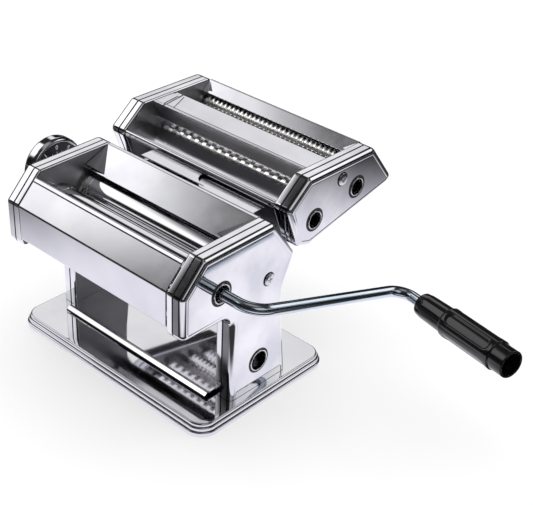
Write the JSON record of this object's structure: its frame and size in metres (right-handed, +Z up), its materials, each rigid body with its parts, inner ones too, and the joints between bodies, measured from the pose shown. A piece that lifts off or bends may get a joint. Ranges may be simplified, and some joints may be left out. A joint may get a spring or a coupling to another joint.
{
  "type": "pasta machine",
  "caption": "Hand cranked pasta machine with a rolling head, a numbered gap knob and a lift-off double cutter head.",
  "frame": {"origin": "middle of the tray's underside, on the surface the machine stands on", "axes": "+X along the rollers towards the crank, +Y to the rear towards the cutter head, +Z up"},
  "size_m": [0.3985, 0.2174, 0.1632],
  "materials": {
    "chrome_sheet": "mirror chrome plated sheet, faintly brushed on the faces",
    "roller_steel": "polished rollers",
    "cutter_steel": "bright turned steel",
    "rod_steel": "bright drawn rod with a blue cast",
    "fastener_steel": "plated",
    "gear_steel": "machined, lightly oiled",
    "knob_chrome": "mirror chrome",
    "bearing_plastic": "moulded nylon",
    "black_plastic": "gloss moulded",
    "underside_plastic": "matt moulded"
  },
  "bodies": {
    "stand": {"base_tray": "chrome_sheet", "base_underside": "underside_plastic", "side_frame_left": "chrome_sheet", "side_frame_right": "chrome_sheet", "side_cover_left": "chrome_sheet", "side_cover_right": "chrome_sheet", "front_cover": "chrome_sheet", "rear_cover": "chrome_sheet", "front_bush_left": "bearing_plastic", "front_bush_right": "bearing_plastic", "crank_ring": "fastener_steel", "clamp_eyelet": "fastener_steel", "front_scraper": "cutter_steel", "tie_rod_front": "fastener_steel", "tie_rod_rear": "fastener_steel", "dock_rail_left": "fastener_steel", "dock_rail_right": "fastener_steel", "spindle_bush": "fastener_steel", "side_screw_left": "fastener_steel", "side_screw_right": "fastener_steel"},
    "front_drum": {"front_roller": "roller_steel", "front_roller_gear": "gear_steel"},
    "gap_carriage": {"rear_bearing_left": "bearing_plastic", "rear_bearing_right": "bearing_plastic", "rear_scraper": "cutter_steel"},
    "rear_drum": {"rear_roller": "roller_steel", "rear_roller_gear": "gear_steel"},
    "regulator": {"regulator_spindle": "fastener_steel", "scroll_plate": "gear_steel", "knob_retainer": "fastener_steel"},
    "knob": {"knob_shell": "knob_chrome", "knob_dial": "black_plastic", "knob_spring": "fastener_steel"},
    "crank": {"crank_rod": "rod_steel"},
    "grip": {"crank_grip": "black_plastic"},
    "cutter_head": {"cutter_frame_left": "chrome_sheet", "cutter_frame_right": "chrome_sheet", "cutter_cover_left": "chrome_sheet", "cutter_cover_right": "chrome_sheet", "cutter_guard": "chrome_sheet", "cutter_roof": "chrome_sheet", "cutter_rear_panel": "chrome_sheet", "dock_plate": "chrome_sheet", "wide_comb_front": "cutter_steel", "wide_comb_rear": "cutter_steel", "fine_comb_front": "cutter_steel", "fine_comb_rear": "cutter_steel", "wide_socket_ring": "fastener_steel", "fine_socket_ring": "fastener_steel", "cutter_screw_left": "fastener_steel", "cutter_screw_right": "fastener_steel"},
    "wide_front": {"wide_cutter_front": "cutter_steel", "wide_gear_front": "gear_steel"},
    "wide_rear": {"wide_cutter_rear": "cutter_steel", "wide_gear_rear": "gear_steel"},
    "fine_front": {"fine_cutter_front": "cutter_steel", "fine_gear_front": "gear_steel"},
    "fine_rear": {"fine_cutter_rear": "cutter_steel", "fine_gear_rear": "gear_steel"}
  },
  "joints": [
    {"name": "crank_turn", "type": "hinge", "parent": "stand", "child": "front_drum", "pos_m": [0, -0.042, 0.1085], "axis": [1, 0, 0], "continuous": true},
    {"name": "crank_pull", "type": "slide", "parent": "front_drum", "child": "crank", "axis": [1, 0, 0], "range_m": [0, 0.026]},
    {"name": "grip_spin", "type": "hinge", "parent": "crank", "child": "grip", "pos_m": [0.17549, 0.07583, 0.0856], "axis": [0.9715, -0.2325, 0.0452], "continuous": true},
    {"name": "regulator_turn", "type": "hinge", "parent": "stand", "child": "regulator", "pos_m": [0, -0.009, 0.1085], "axis": [1, 0, 0], "range_deg": [0, 288]},
    {"name": "knob_pull", "type": "slide", "parent": "regulator", "child": "knob", "axis": [-1, 0, 0], "range_m": [0, 0.004], "stiffness_N_per_m": 800, "springref_m": -0.006},
    {"name": "roller_gap", "type": "slide", "parent": "stand", "child": "gap_carriage", "axis": [0, -1, 0], "range_m": [0, 0.0024]},
    {"name": "rear_drum_turn", "type": "hinge", "parent": "gap_carriage", "child": "rear_drum", "pos_m": [0, -0.009, 0.1085], "axis": [1, 0, 0], "continuous": true},
    {"name": "cutter_lift", "type": "slide", "parent": "stand", "child": "cutter_head", "axis": [0, -0.5869, 0.8097], "range_m": [0, 0.035]},
    {"name": "wide_turn", "type": "hinge", "parent": "cutter_head", "child": "wide_front", "pos_m": [0, 0.051, 0.1288], "axis": [1, 0, 0], "continuous": true},
    {"name": "wide_rear_turn", "type": "hinge", "parent": "cutter_head", "child": "wide_rear", "pos_m": [0, 0.0686, 0.1327], "axis": [1, 0, 0], "continuous": true},
    {"name": "fine_turn", "type": "hinge", "parent": "cutter_head", "child": "fine_front", "pos_m": [0, 0.097, 0.1385], "axis": [1, 0, 0], "continuous": true},
    {"name": "fine_rear_turn", "type": "hinge", "parent": "cutter_head", "child": "fine_rear", "pos_m": [0, 0.1146, 0.1424], "axis": [1, 0, 0], "continuous": true}
  ],
  "couplings": [
    {"joint": "rear_drum_turn", "follows": "crank_turn", "ratio": -1},
    {"joint": "roller_gap", "follows": "regulator_turn", "m_per_rad": 0.00047746},
    {"joint": "wide_rear_turn", "follows": "wide_turn", "ratio": -1},
    {"joint": "fine_rear_turn", "follows": "fine_turn", "ratio": -1}
  ]
}
